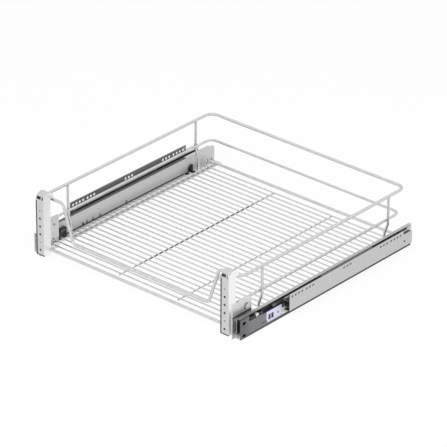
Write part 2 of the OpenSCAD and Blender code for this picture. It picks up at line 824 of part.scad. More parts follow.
module bracket_blank(left_x) {
    right_x = left_x + bracket_w;
    // Folded channel, open at the back
    difference() {
        box([left_x, face_y, bracket_foot], [right_x, bracket_rear_y, hood_z]);
        box([left_x + bracket_sheet, face_y + bracket_sheet, bracket_foot - 1],
            [right_x - bracket_sheet, bracket_rear_y + 1, hood_z + 1]);
    }
    // Rolled hood with closed ends, which comes down on the rail
    difference() {
        x_cylinder(left_x, right_x, hood_y, hood_z, 2 * hood_r);
        x_cylinder(left_x + bracket_sheet, right_x - bracket_sheet, hood_y, hood_z,
            2 * (hood_r - bracket_sheet));
        box([left_x - 1, hood_y - hood_r - 1, hood_z - hood_r - 1],
            [right_x + 1, hood_y + hood_r + 1, hood_z]);
    }
}

module front_bracket(side) {
    left_x = side == "left" ? -bracket_outer_x : bracket_inner_x;
    mid_x = left_x + bracket_w / 2;
    window_z = hood_z + window_rise;
    tongue_x = left_x + tongue_at;
    main_holes = [0, 2, 3, 4];
    pilot_holes = [1, 5];
    color("gainsboro")
        difference() {
            bracket_blank(left_x);
            for (span = [[left_x + bracket_sheet, tongue_x],
                [tongue_x + tongue_w, left_x + bracket_w - bracket_sheet]])
                box([span[0], face_y - 1, window_z], [span[1], hood_y - hood_r / 2, window_z + window_h]);
            for (i = main_holes)
                translate([mid_x, face_y - 1, lowest_face_hole + i * face_hole_pitch])
                    rotate([-90, 0, 0])
                        cylinder(h = bracket_sheet + 2, d = face_hole_d);
            for (i = pilot_holes)
                translate([mid_x, face_y - 1, lowest_face_hole + i * face_hole_pitch])
                    rotate([-90, 0, 0])
                        cylinder(h = bracket_sheet + 2, d = pilot_hole_d);
        }
}

module side_plate(side) {
    corner_r = 5;
    spare_hole_d = 4;
    color("whitesmoke")
        on_side(side)
            difference() {
                box([plate_x, plate_front_y, 0], [plate_outer_x, plate_rear_y, plate_h]);
                for (z = plate_screw_z)
                    x_cylinder(plate_x - 1, plate_outer_x + 1, plate_screw_y, z,
                        plate_screw_d + 2 * pivot_clearance);
                x_cylinder(plate_x - 1, plate_outer_x + 1, clamp_y, clamp_z,
                    clamp_shank_d + 2 * pivot_clearance);
                x_cylinder(plate_x - 1, plate_outer_x + 1, wheel_y, wheel_z,
                    wheel_hub_d + 2 * pivot_clearance);
                x_cylinder(plate_x - 1, plate_outer_x + 1, wheel_y - wheel_r / 2, wheel_z + wheel_r + 3,
                    spare_hole_d);
                difference() {
                    box([plate_x - 1, plate_rear_y - corner_r, plate_h - corner_r],
                        [plate_outer_x + 1, plate_rear_y + 1, plate_h + 1]);
                    x_cylinder(plate_x - 2, plate_outer_x + 2, plate_rear_y - corner_r, plate_h - corner_r,
                        2 * corner_r);
                }
            }
}

module clamp_screw(side) {
    head_t = 3;
    tip_t = 2;
    socket_d = 3.5;
    color("silver")
        on_side(side)
            difference() {
                union() {
                    x_cylinder(plate_outer_x, plate_outer_x + head_t, clamp_y, clamp_z, clamp_head_d);
                    x_cylinder(plate_x - tip_t, plate_outer_x + 1, clamp_y, clamp_z, clamp_shank_d);
                }
                x_cylinder(plate_x - tip_t - 1, plate_x + 1, clamp_y, clamp_z, socket_d);
            }
}

module adjuster_wheel(side) {
    rim_t = 0.4;
    hub_rim_d = wheel_hub_d + 2;
    color("lightgray")
        on_side(side)
            difference() {
                union() {
                    x_cylinder(plate_x - wheel_t, plate_x, wheel_y, wheel_z, 2 * wheel_r);
                    x_cylinder(plate_x - wheel_t, plate_outer_x + rim_t, wheel_y, wheel_z, wheel_hub_d);
                    x_cylinder(plate_outer_x, plate_outer_x + rim_t, wheel_y, wheel_z, hub_rim_d);
                }
                for (i = [0 : notch_count - 1])
                    let (turn = 360 * i / notch_count)
                    x_cylinder(plate_x - wheel_t - 1, plate_x + 1,
                        wheel_y + wheel_r * cos(turn), wheel_z + wheel_r * sin(turn), notch_d);
            }
}

module plate_spacers(side) {
    color("silver")
        on_side(side)
            for (z = plate_screw_z)
                difference() {
                    x_cylinder(plate_outer_x, panel_x, plate_screw_y, z, spacer_d);
                    x_cylinder(plate_outer_x - 1, panel_x + 1, plate_screw_y, z,
                        plate_screw_d + 2 * pivot_clearance);
                }
}

module plate_screws(side) {
    head_t = 2.2;
    socket_d = 2.6;
    color("dimgray")
        on_side(side)
            for (z = plate_screw_z)
                difference() {
                    union() {
                        x_cylinder(plate_x, panel_outer_x + 1, plate_screw_y, z, plate_screw_d);
                        x_cylinder(panel_outer_x, panel_outer_x + head_t, plate_screw_y, z, slot_h);
                    }
                    x_cylinder(panel_outer_x + 1, panel_outer_x + head_t + 1, plate_screw_y, z, socket_d);
                }
}

// ---- Wire basket ----

module top_rail() {
    color("silver")
        bent_rod([
            [-rail_split_x, front_rail_y, rail_height],
            [-rail_x, front_rail_y, rail_height],
            [-rail_x, back_rail_y - back_bend_r - 1, rail_height]
        ], front_bend_r, rail_d);
    color("silver")
        bent_rod([
            [-rail_x, back_rail_y - back_bend_r - 1, rail_height],
            [-rail_x, back_rail_y, rail_height],
            [rail_x, back_rail_y, rail_height],
            [rail_x, back_rail_y - back_bend_r - 1, rail_height]
        ], back_bend_r, rail_d);
    color("silver")
        bent_rod([
            [rail_x, back_rail_y - back_bend_r - 1, rail_height],
            [rail_x, front_rail_y, rail_height],
            [rail_split_x, front_rail_y, rail_height]
        ], front_bend_r, rail_d);
}

module front_rail() {
    dip_z = rail_height - dip_depth;
    dip_half = dip_top_half - dip_lean;
    color("silver")
        bent_rod([
            [-rail_split_x, front_rail_y, rail_height],
            [-dip_top_half, front_rail_y, rail_height],
            [-dip_half, front_rail_y, dip_z],
            [dip_half, front_rail_y, dip_z],
            [dip_top_half, front_rail_y, rail_height],
            [rail_split_x, front_rail_y, rail_height]
        ], dip_bend_r, rail_d);
}

module mid_rail() {
    back_y = back_rail_y - mid_rail_inset;
    color("silver")
        bent_rod([
            [-mid_rail_x, mid_rail_end_y, mid_rail_z],
            [-mid_rail_x, back_y, mid_rail_z],
            [mid_rail_x, back_y, mid_rail_z],
            [mid_rail_x, mid_rail_end_y, mid_rail_z]
        ], mid_bend_r, mid_rail_d);
}

module upright(side, y) {
    color("silver")
        on_side(side)
            bent_rod([
                [upright_x, y, rail_height - rail_d / 2 + weld_bite],
                [upright_x, y, upright_bend_top],
                [side_wire_x, y, upright_bend_top - upright_bend_drop],
                [side_wire_x, y, weld_plane - weld_bite]
            ], upright_bend_r, upright_d);
}

module floor_front_wire() {
    color("silver")
        x_cylinder(-bracket_inner_x, bracket_inner_x, floor_front_y, floor_upper_z, floor_frame_d);
}

module floor_back_wire() {
    color("silver")
        x_cylinder(-floor_half_w, floor_half_w, floor_back_y, floor_upper_z, floor_frame_d);
}

module floor_side_wire(side) {
    color("silver")
        on_side(side)
            y_cylinder(floor_front_y - floor_frame_d / 2, floor_back_y + floor_frame_d / 2,
                side_wire_x, side_wire_z, floor_frame_d);
}

module floor_wires() {
    color("silver")
        for (i = [0 : floor_wire_count - 1])
            x_cylinder(-floor_half_w, floor_half_w, floor_back_y - first_wire_at - i * floor_pitch,
                thin_wire_z, floor_wire_d);
}

module cross_wire(x) {
    overhang = 3;
    color("silver")
        y_cylinder(floor_front_y + last_wire_at - overhang, floor_back_y - first_wire_at + overhang,
            x, cross_wire_z, floor_wire_d);
}

cabinet_profile("left");  // cabinet_profile_left
cabinet_profile("right");  // cabinet_profile_right
catch_pin("left");  // catch_pin_left
catch_pin("right");  // catch_pin_right
rear_stop("left");  // rear_stop_left
rear_stop("right");  // rear_stop_right
middle_member("left");  // middle_member_left
middle_member("right");  // middle_member_right
outer_cage("left");  // outer_cage_left
outer_cage("right");  // outer_cage_right
outer_balls("left");  // outer_balls_left
outer_balls("right");  // outer_balls_right
inner_cage("left");  // inner_cage_left
inner_cage("right");  // inner_cage_right
inner_balls("left");  // inner_balls_left
inner_balls("right");  // inner_balls_right
drawer_member("left");  // drawer_member_left
drawer_member("right");  // drawer_member_right
damper_housing("left");  // damper_housing_left
damper_housing("right");  // damper_housing_right
damper_cylinder("left");  // damper_cylinder_left
damper_cylinder("right");  // damper_cylinder_right
pull_spring("left");  // pull_spring_left
pull_spring("right");  // pull_spring_right
catch("left");  // catch_left
catch("right");  // catch_right
piston_rod("left");  // piston_rod_left
piston_rod("right");  // piston_rod_right
release_lever("left");  // release_lever_left
release_lever("right");  // release_lever_right
lever_pin("left");  // lever_pin_left
lever_pin("right");  // lever_pin_right
wire_clip("left");  // wire_clip_left
wire_clip("right");  // wire_clip_right
front_bracket("left");  // front_bracket_left
front_bracket("right");  // front_bracket_right
side_plate("left");  // side_plate_left
side_plate("right");  // side_plate_right
clamp_screw("left");  // clamp_screw_left
clamp_screw("right");  // clamp_screw_right
adjuster_wheel("left");  // adjuster_wheel_left
adjuster_wheel("right");  // adjuster_wheel_right
plate_spacers("left");  // plate_spacers_left
plate_spacers("right");  // plate_spacers_right
plate_screws("left");  // plate_screws_left
plate_screws("right");  // plate_screws_right
top_rail();
front_rail();
mid_rail();
upright("left", front_rail_y + front_upright_at);  // upright_front_left
upright("right", front_rail_y + front_upright_at);  // upright_front_right
upright("left", back_rail_y - back_upright_at);  // upright_back_left
upright("right", back_rail_y - back_upright_at);  // upright_back_right
floor_front_wire();
floor_back_wire();
floor_side_wire("left");  // floor_side_wire_left
floor_side_wire("right");  // floor_side_wire_right
floor_wires();
cross_wire(cross_wire_x[0]);  // cross_wire_left
cross_wire(cross_wire_x[1]);  // cross_wire_right
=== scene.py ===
import json
import math

import bmesh
import bpy
from bpy.props import FloatProperty, FloatVectorProperty, IntProperty, PointerProperty
from mathutils import Matrix, Vector


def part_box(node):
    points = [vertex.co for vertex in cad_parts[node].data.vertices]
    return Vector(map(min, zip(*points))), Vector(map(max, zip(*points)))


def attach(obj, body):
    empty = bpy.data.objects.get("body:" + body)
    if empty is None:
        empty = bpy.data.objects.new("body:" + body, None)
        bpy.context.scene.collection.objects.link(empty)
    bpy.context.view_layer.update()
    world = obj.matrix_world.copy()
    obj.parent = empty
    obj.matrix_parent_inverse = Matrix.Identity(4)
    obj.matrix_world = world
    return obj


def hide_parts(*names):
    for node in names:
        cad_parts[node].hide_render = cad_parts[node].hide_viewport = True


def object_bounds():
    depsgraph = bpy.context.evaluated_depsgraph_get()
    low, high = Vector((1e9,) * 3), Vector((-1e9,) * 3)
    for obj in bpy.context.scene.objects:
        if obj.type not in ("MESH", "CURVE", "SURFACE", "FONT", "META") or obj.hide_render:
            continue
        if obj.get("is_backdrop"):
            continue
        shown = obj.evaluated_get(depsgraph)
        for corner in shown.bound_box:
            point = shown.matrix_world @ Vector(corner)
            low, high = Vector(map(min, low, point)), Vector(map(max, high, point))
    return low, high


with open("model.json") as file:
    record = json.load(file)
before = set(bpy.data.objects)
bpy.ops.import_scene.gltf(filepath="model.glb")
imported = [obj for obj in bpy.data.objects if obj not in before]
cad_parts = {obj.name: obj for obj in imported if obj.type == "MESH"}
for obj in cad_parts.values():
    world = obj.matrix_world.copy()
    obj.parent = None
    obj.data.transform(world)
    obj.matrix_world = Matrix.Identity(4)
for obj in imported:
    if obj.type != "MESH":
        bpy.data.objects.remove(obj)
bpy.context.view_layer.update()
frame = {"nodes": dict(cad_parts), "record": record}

bl_info = {
    "name": "Pull-out Cabinet Basket",
    "version": (1, 0, 0),
    "blender": (4, 5, 0),
    "location": "3D View > Sidebar > Basket",
    "description": "Finishes for a wire basket on ball runners, with its studio stage",
    "category": "Object",
}

SIDES = ("left", "right")
WIRES = (
    "top_rail", "front_rail", "mid_rail",
    "upright_front_left", "upright_front_right", "upright_back_left", "upright_back_right",
    "floor_front_wire", "floor_back_wire", "floor_side_wire_left", "floor_side_wire_right",
    "floor_wires", "cross_wire_right",
)

# Past every piece, for a band that is open on one side
FAR = 10.0
# Softness of a band's edge
CRISP = 0.0001

# Points of a CAD mesh that are one point, edges that are flat, and edges that get a radius
SAME_POINT = 0.000002
FLAT_ANGLE = math.radians(0.5)
SHARP_ANGLE = math.radians(40.0)

# Where a ramp between two tones starts and ends
RAMP_ENDS = (0.3, 0.7)
# Sockets of a Mix node that mixes colours
MIX_SHARE, MIX_UNDER, MIX_OVER, MIXED = 0, 6, 7, 2


# ---- Colours ----

def grey(value):
    """A plain grey."""
    return (value, value, value)


def shade(colour, factor):
    """The colour, lighter or darker."""
    return tuple(min(1.0, part * factor) for part in colour)


# Painted light: white laid on the drawer members' front ends, where the light makes them look white
PAINTED_LIGHT_WHITE = grey(0.95)
# Painted shade: near black, for the deep shade inside the runners' sections and holes and along dark edges
# and gaps
PAINTED_DEEP_SHADE = (0.03, 0.031, 0.03)
# Painted shade inside the front brackets' channels and hoods
PAINTED_CHANNEL_SHADE = grey(0.08)
# Painted reflection: the dark web mirrored in the left drawer member's top
PAINTED_TOP_REFLECTION = (0.075, 0.088, 0.08)
# Painted shade on the inner sides of the cabinet profiles
PAINTED_PROFILE_SHADE = (0.40, 0.405, 0.40)
# Painted shade in the gap under the profiles' flanges
PAINTED_GAP_SHADE = grey(0.045)
# Painted shade on the profiles' flange tops
PAINTED_FLANGE_SHADE = grey(0.50)
# Painted light on the left profile's flange top at its rear end
PAINTED_FLANGE_LIGHT = grey(0.80)
# Painted shade on the front of the soft-close housings
PAINTED_HOUSING_SHADE = (0.20, 0.195, 0.215)
# Painted shade in the housings' recessed windows
PAINTED_WINDOW_SHADE = (0.035, 0.035, 0.06)
# Painted shade in the notch at the housings' tip
PAINTED_NOTCH_SHADE = grey(0.03)
# Painted light: the pale strip beside the housings' notch
PAINTED_STRIP_LIGHT = grey(0.80)
# Painted light on the paler side of the black levers
PAINTED_LEVER_LIGHT = grey(0.035)
# Painted highlight: the glint on the levers' step
LEVER_GLINT = grey(0.28)
BLACKENED = grey(0.03)
RUBBER = grey(0.02)
CAGE = (0.55, 0.55, 0.52)
BALL = (0.7, 0.7, 0.71)
TURNED_STEEL = (0.55, 0.55, 0.56)
FLOOR = grey(0.9)


# ---- Settings ----

class BasketFinishes(bpy.types.PropertyGroup):
    wire_colour: FloatVectorProperty(
        name="Wire", description="Colour of the plated wires", subtype="COLOR", size=3,
        default=(0.66, 0.66, 0.665))
    wire_roughness: FloatProperty(
        name="Wire roughness", description="How much the plated wires blur reflections", subtype="FACTOR",
        min=0.0, max=1.0, default=0.24)
    sheet_colour: FloatVectorProperty(
        name="Bright sheet", description="Colour of the brackets and spacers", subtype="COLOR", size=3,
        default=(0.60, 0.60, 0.60))
    plate_colour: FloatVectorProperty(
        name="Side plate", description="Colour of the side plates, clamp screws and adjuster wheels",
        subtype="COLOR", size=3,
        default=(0.72, 0.72, 0.72))
    profile_colour: FloatVectorProperty(
        name="Profile", description="Colour of the catch pins and the profiles' outer face", subtype="COLOR",
        size=3,
        default=(0.57, 0.57, 0.57))
    # The middle members take this colour darkened, as painted shade
    member_colour: FloatVectorProperty(
        name="Drawer member", description="Colour of the drawer members. The middle ones are darker",
        subtype="COLOR", size=3,
        default=(0.64, 0.65, 0.64))
    web_colour: FloatVectorProperty(
        name="Drawer member's web", description="Colour of the drawer members' outer web",
        subtype="COLOR", size=3, default=(0.195, 0.190, 0.210))
    soft_close_colour: FloatVectorProperty(
        name="Soft-close housing", description="Colour of the soft-close housings", subtype="COLOR", size=3,
        default=(0.70, 0.70, 0.85))
    catch_colour: FloatVectorProperty(
        name="Catch", description="Colour of the catches", subtype="COLOR", size=3,
        default=(0.78, 0.84, 0.79))
    black_colour: FloatVectorProperty(
        name="Black plastic", description="Colour of the levers and wire clips", subtype="COLOR", size=3,
        default=(0.012, 0.012, 0.013))
    edge_radius: FloatProperty(
        name="Edge", description="Radius on the edges of sheet and mouldings", unit="LENGTH",
        min=0.0, max=0.001, default=0.00025)
    edge_segments: IntProperty(
        name="Edge segments", description="Segments across a rounded edge", min=1, max=4, default=2)


class BasketStage(bpy.types.PropertyGroup):
    camera_place: FloatVectorProperty(
        name="Camera", description="Where the camera stands", subtype="TRANSLATION", unit="LENGTH", size=3,
        default=(4.0169, -4.6438, 3.2739))
    azimuth: FloatProperty(
        name="Azimuth", description="Turn of the camera round the basket", unit="ROTATION",
        default=math.radians(40.85))
    elevation: FloatProperty(
        name="Elevation", description="Height angle of the camera", unit="ROTATION",
        default=math.radians(27.65))
    roll: FloatProperty(
        name="Roll", description="Roll of the camera", unit="ROTATION", default=math.radians(0.35))
    lens: FloatProperty(
        name="Lens", description="Focal length on a 36 mm sensor", unit="CAMERA", default=287.5)
    floor_size: FloatProperty(
        name="Floor", description="Side of the floor", unit="LENGTH", min=2.0, default=12.0)
    world_light: FloatProperty(
        name="Room light", description="Strength of the light from all round", min=0.0, default=0.62)
    key_light: FloatProperty(
        name="Key light", description="Power of the lamp, in watts", min=0.0, default=70.0)
    floor_white: FloatProperty(
        name="Floor white", description="Share of the floor's look that takes no shadow", subtype="FACTOR",
        min=0.0, max=1.0, default=0.94)


# ---- Material tools ----

def new_material(name, colour, metallic, roughness):
    """A material with its surface shader set, and the shader itself."""
    material = bpy.data.materials.new(name)
    material.use_nodes = True
    shader = material.node_tree.nodes["Principled BSDF"]
    shader.inputs["Base Color"].default_value = (*colour, 1.0)
    shader.inputs["Metallic"].default_value = metallic
    shader.inputs["Roughness"].default_value = roughness
    material.diffuse_color = (*colour, 1.0)
    return material, shader


def object_pattern(tree, stretch=(1.0, 1.0, 1.0)):
    """Object coordinates, stretched along the axes."""
    coordinates = tree.nodes.new("ShaderNodeTexCoord")
    mapping = tree.nodes.new("ShaderNodeMapping")
    mapping.inputs["Scale"].default_value = stretch
    tree.links.new(coordinates.outputs["Object"], mapping.inputs["Vector"])
    return mapping.outputs["Vector"]


def noise(tree, vector, scale, detail=3.0):
    """Noise over the given coordinates."""
    texture = tree.nodes.new("ShaderNodeTexNoise")
    texture.inputs["Scale"].default_value = scale
    texture.inputs["Detail"].default_value = detail
    tree.links.new(vector, texture.inputs["Vector"])
    return texture.outputs["Fac"]


def spread(tree, value, low, high):
    """A value from 0 to 1 brought to the range from low to high."""
    ranged = tree.nodes.new("ShaderNodeMapRange")
    ranged.inputs["To Min"].default_value = low
    ranged.inputs["To Max"].default_value = high
    tree.links.new(value, ranged.inputs["Value"])
    return ranged.outputs["Result"]


def tint(tree, value, dark, light):
    """A colour between dark and light, by the value."""
    ramp = tree.nodes.new("ShaderNodeValToRGB")
    for stop, position, colour in zip(ramp.color_ramp.elements, RAMP_ENDS, (dark, light)):
        stop.position = position
        stop.color = (*colour, 1.0)
    tree.links.new(value, ramp.inputs["Fac"])
    return ramp.outputs["Color"]


def place_parts(tree):
    """Object coordinates apart, as x, y, z, and out, which is how far from the middle plane."""
    coordinates = tree.nodes.new("ShaderNodeTexCoord")
    apart = tree.nodes.new("ShaderNodeSeparateXYZ")
    out = tree.nodes.new("ShaderNodeMath")
    out.operation = "ABSOLUTE"
    tree.links.new(coordinates.outputs["Object"], apart.inputs["Vector"])
    tree.links.new(apart.outputs["X"], out.inputs[0])
    return {"x": apart.outputs["X"], "y": apart.outputs["Y"], "z": apart.outputs["Z"], "out": out.outputs[0]}


def past(tree, value, edge, soft):
    """0 where the value is short of the edge, and 1 past it."""
    ranged = tree.nodes.new("ShaderNodeMapRange")
    ranged.inputs["From Min"].default_value = edge - soft
    ranged.inputs["From Max"].default_value = edge + soft
    tree.links.new(value, ranged.inputs["Value"])
    return ranged.outputs["Result"]


def between(tree, value, low, high, soft=CRISP):
    """1 where the value lies between the two edges."""
    both = tree.nodes.new("ShaderNodeMath")
    both.operation = "SUBTRACT"
    tree.links.new(past(tree, value, low, soft), both.inputs[0])
    tree.links.new(past(tree, value, high, soft), both.inputs[1])
    return both.outputs[0]


def in_disc(tree, place, y, z, radius):
    """1 nearer than the radius to an axis along X."""
    flat = tree.nodes.new("ShaderNodeCombineXYZ")
    away = tree.nodes.new("ShaderNodeVectorMath")
    away.operation = "DISTANCE"
    away.inputs[1].default_value = (0.0, y, z)
    tree.links.new(place["y"], flat.inputs["Y"])
    tree.links.new(place["z"], flat.inputs["Z"])
    tree.links.new(flat.outputs["Vector"], away.inputs[0])
    return between(tree, away.outputs["Value"], -FAR, radius)


def all_of(tree, *shares):
    """1 where every share is 1."""
    total = shares[0]
    for share in shares[1:]:
        product = tree.nodes.new("ShaderNodeMath")
        product.operation = "MULTIPLY"
        tree.links.new(total, product.inputs[0])
        tree.links.new(share, product.inputs[1])
        total = product.outputs[0]
    return total


def over(tree, share, under, colour):
    """The colour laid over what is under it, by a share."""
    mix = tree.nodes.new("ShaderNodeMix")
    mix.data_type = "RGBA"
    tree.links.new(share, mix.inputs[MIX_SHARE])
    tree.links.new(under, mix.inputs[MIX_UNDER])
    mix.inputs[MIX_OVER].default_value = (*colour, 1.0)
    return mix.outputs[MIXED]


def lay_bands(tree, tone, bands):
    """Bands of other tones over a tone, for painted shade, painted light and painted reflections, also along
    edges.

    A band is a colour and the spans in which it lies, {"out": (low, high), "z": (low, high, softness)}.
    The span "disc" is an axis along X and a radius round it: (y, z, radius).
    """
    place = place_parts(tree)
    for colour, spans in bands:
        shares = [in_disc(tree, place, *span) if axis == "disc" else between(tree, place[axis], *span)
                  for axis, span in spans.items()]
        tone = over(tree, all_of(tree, *shares), tone, colour)
    return tone


def bump(tree, shader, value, height):
    """Relief of the given height, in metres, on the shader."""
    relief = tree.nodes.new("ShaderNodeBump")
    relief.inputs["Distance"].default_value = height
    relief.inputs["Strength"].default_value = 1.0
    tree.links.new(value, relief.inputs["Height"])
    tree.links.new(relief.outputs["Normal"], shader.inputs["Normal"])


# ---- Finishes ----

def plated_wire(name, colour, roughness, bands=()):
    """Bright plating on drawn wire, with faint drawing lines and clouding."""
    edge_tint = 0.6
    material, shader = new_material(name, colour, metallic=0.85, roughness=roughness)
    shader.inputs["Specular Tint"].default_value = (*grey(edge_tint), 1.0)
    tree = material.node_tree
    clouds = noise(tree, object_pattern(tree), scale=90.0)
    fine = noise(tree, object_pattern(tree), scale=2600.0, detail=2.0)
    tone = tint(tree, clouds, dark=shade(colour, 0.92), light=shade(colour, 1.06))
    tree.links.new(lay_bands(tree, tone, bands), shader.inputs["Base Color"])
    blur = spread(tree, clouds, low=roughness * 0.8, high=roughness * 1.25)
    tree.links.new(blur, shader.inputs["Roughness"])
    bump(tree, shader, fine, height=0.00001)
    return material


def bright_sheet(name, colour, along, roughness=0.34, metallic=0.75, bands=()):
    """Rolled and plated sheet: rolling lines along one axis, soft spangle, and bands of other tones for
    painted shade and painted light.
    """
    material, shader = new_material(name, colour, metallic, roughness)
    tree = material.node_tree
    drawn_out = tuple(0.04 if axis == along else 1.0 for axis in "XYZ")
    lines = noise(tree, object_pattern(tree, stretch=drawn_out), scale=1500.0)
    spangle = noise(tree, object_pattern(tree), scale=160.0, detail=4.0)
    tone = tint(tree, spangle, dark=shade(colour, 0.94), light=shade(colour, 1.05))
    tree.links.new(lay_bands(tree, tone, bands), shader.inputs["Base Color"])
    blur = spread(tree, lines, low=roughness * 0.8, high=roughness * 1.3)
    tree.links.new(blur, shader.inputs["Roughness"])
    bump(tree, shader, lines, height=0.000012)
    return material


def moulded_plastic(name, colour, roughness=0.42, bands=()):
    """Moulded plastic with a fine spark-eroded grain, and bands of other tones for painted shade and painted
    light.
    """
    material, shader = new_material(name, colour, metallic=0.0, roughness=roughness)
    tree = material.node_tree
    grain = noise(tree, object_pattern(tree), scale=2200.0, detail=2.0)
    clouds = noise(tree, object_pattern(tree), scale=60.0)
    tone = tint(tree, clouds, dark=shade(colour, 0.96), light=shade(colour, 1.03))
    tree.links.new(lay_bands(tree, tone, bands), shader.inputs["Base Color"])
    blur = spread(tree, grain, low=roughness * 0.85, high=roughness * 1.2)
    tree.links.new(blur, shader.inputs["Roughness"])
    bump(tree, shader, grain, height=0.00002)
    return material


def dress(material, *nodes):
    """Gives CAD nodes their finish."""
    for name in nodes:
        mesh = frame["nodes"][name].data
        mesh.materials.clear()
        mesh.materials.append(material)


def rounded(material, finishes, *nodes):
    """Pieces in place of CAD nodes, with the nodes' shape, rounded edges and a finish."""
    record = frame["record"]
    for name in nodes:
        body = next(body for body, members in record["behaviour"]["bodies"].items() if name in members)
        mesh = frame["nodes"][name].data.copy()
        sheet = bmesh.new()
        sheet.from_mesh(mesh)
        bmesh.ops.remove_doubles(sheet, verts=sheet.verts, dist=SAME_POINT)
        bmesh.ops.dissolve_limit(sheet, angle_limit=FLAT_ANGLE, verts=sheet.verts, edges=sheet.edges)
        sheet.to_mesh(mesh)
        sheet.free()
        mesh.materials.clear()
        mesh.materials.append(material)
        piece = bpy.data.objects.new(f"{name}_finished", mesh)
        bpy.context.scene.collection.objects.link(piece)
        edges = piece.modifiers.new("Edges", "BEVEL")
        edges.width = finishes.edge_radius
        edges.segments = finishes.edge_segments
        edges.limit_method = "ANGLE"
        edges.angle_limit = SHARP_ANGLE
        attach(piece, body)
        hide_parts(name)


def pair(*names):
    """Left and right node of each name."""
    return [f"{name}_{side}" for name in names for side in SIDES]


# ---- Bands of each piece ----
# Their places come from the CAD boxes, as far as the boxes give them. Most of them are painted shade; the
# others are painted light and painted reflections.

def wire_bands(colour):
    """Painted light: the wires low on the left, over the drawer member's shelf, are made brighter."""
    shelf_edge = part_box("drawer_member_right")[0].x
    beside_shelf, rail_foot = 0.0005 - shelf_edge, 0.024
    return ((shade(colour, 1.25), {"x": (-FAR, beside_shelf), "z": (-FAR, rail_foot)}),)


def cross_wire_bands(colour):
    """Painted shade: the darker middle of the left cross wire, with soft ends."""
    front, back, softness = -0.17, 0.165, 0.03
    return ((shade(colour, 0.28), {"y": (front, back, softness)}),)


def bracket_bands(side, colour):
    """Painted shade in a bracket's channel and hood and on two edges of its face, and painted light on its
    bright right side.
    """
    low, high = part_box(f"front_bracket_{side}")
    sheet, lap = 0.0015, 0.0002
    inside = (low.x + sheet - lap, high.x - sheet + lap)
    behind = (low.y + 0.0009, FAR)
    hood_radius, hood_rim, hood_drop = 0.0145, 0.0006, 0.006
    hood_y, hood_z = low.y + hood_radius, high.z - hood_radius
    hood_hollow = (hood_y, hood_z, hood_radius - hood_rim)
    right_side = (high.x - 0.0004, FAR)
    face = (-FAR, low.y + 0.001)
    left_edge, foot_edge = (-FAR, low.x + 0.0029), (-FAR, low.z + 0.0024)
    painted_edge_shade = shade(colour, 0.04)
    lower_shade, upper_shade = (0.012, 0.030), (0.047, 0.099)
    return (
        (PAINTED_CHANNEL_SHADE, {"x": inside, "y": behind, "z": lower_shade}),
        (PAINTED_CHANNEL_SHADE, {"x": inside, "y": behind, "z": upper_shade}),
        (PAINTED_CHANNEL_SHADE, {"x": inside, "disc": hood_hollow, "z": (hood_z - hood_drop, FAR)}),
        # Painted light on the bracket's right side
        (shade(colour, 1.5), {"x": right_side}),
        (painted_edge_shade, {"x": left_edge, "y": face, "z": (-FAR, hood_z)}),
        (painted_edge_shade, {"y": face, "z": foot_edge}),
    )


def plate_bands(colour):
    """The side plates' outer faces: painted shade beside the drawer members, and a dark line of painted
    shade at their top.
    """
    outside = (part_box("side_plate_right")[1].x - 0.0004, FAR)
    member_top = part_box("drawer_member_right")[1].z
    line_foot, line_top = member_top - 0.003, member_top - 0.0002
    return (
        (shade(colour, 0.6), {"out": outside, "z": (-FAR, member_top)}),
        (shade(colour, 0.1), {"out": outside, "z": (line_foot, line_top)}),
    )


def screw_bands(colour):
    """Painted shade on the shank of the clamp screws, next to the side plates."""
    plate_face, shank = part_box("side_plate_right")[1].x, 0.0028
    return ((shade(colour, 0.4), {"out": (plate_face, plate_face + shank)}),)


